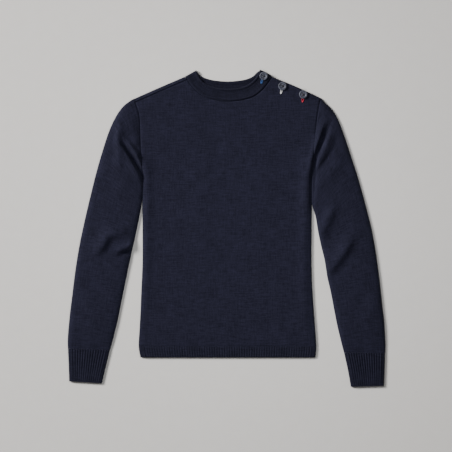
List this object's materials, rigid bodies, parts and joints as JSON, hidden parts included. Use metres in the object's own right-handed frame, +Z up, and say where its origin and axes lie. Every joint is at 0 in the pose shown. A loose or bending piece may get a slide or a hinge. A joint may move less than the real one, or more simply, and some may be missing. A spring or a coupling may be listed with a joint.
{
  "type": "sailor sweater laid flat",
  "caption": "Navy knit crew-neck sailor sweater laid flat, with ribbed cuffs and hem and a buttoned shoulder opening.",
  "frame": {"origin": "middle of the garment's outline, on the surface that it lies on", "axes": "+Z up out of the front, +Y towards the neck, +X towards the wearer's left"},
  "size_m": [0.6746, 0.674, 0.0133],
  "materials": {
    "navy_knit": "fine plain-knit wool, soft nap",
    "navy_rib": "ribbed wool, soft nap",
    "slate_button": "polished, marbled",
    "blue_thread": "buttonhole thread",
    "white_thread": "buttonhole thread",
    "red_thread": "buttonhole thread"
  },
  "bodies": {
    "root": {"front_panel": "navy_knit", "back_panel": "navy_knit", "sleeve_right": "navy_knit", "sleeve_left": "navy_knit", "neckband": "navy_knit", "hem_front": "navy_rib", "hem_back": "navy_rib", "cuff_right": "navy_rib", "cuff_left": "navy_rib", "button_neck": "slate_button", "button_middle": "slate_button", "button_shoulder": "slate_button", "buttonhole_blue": "blue_thread", "buttonhole_white": "white_thread", "buttonhole_red": "red_thread"}
  },
  "joints": []
}
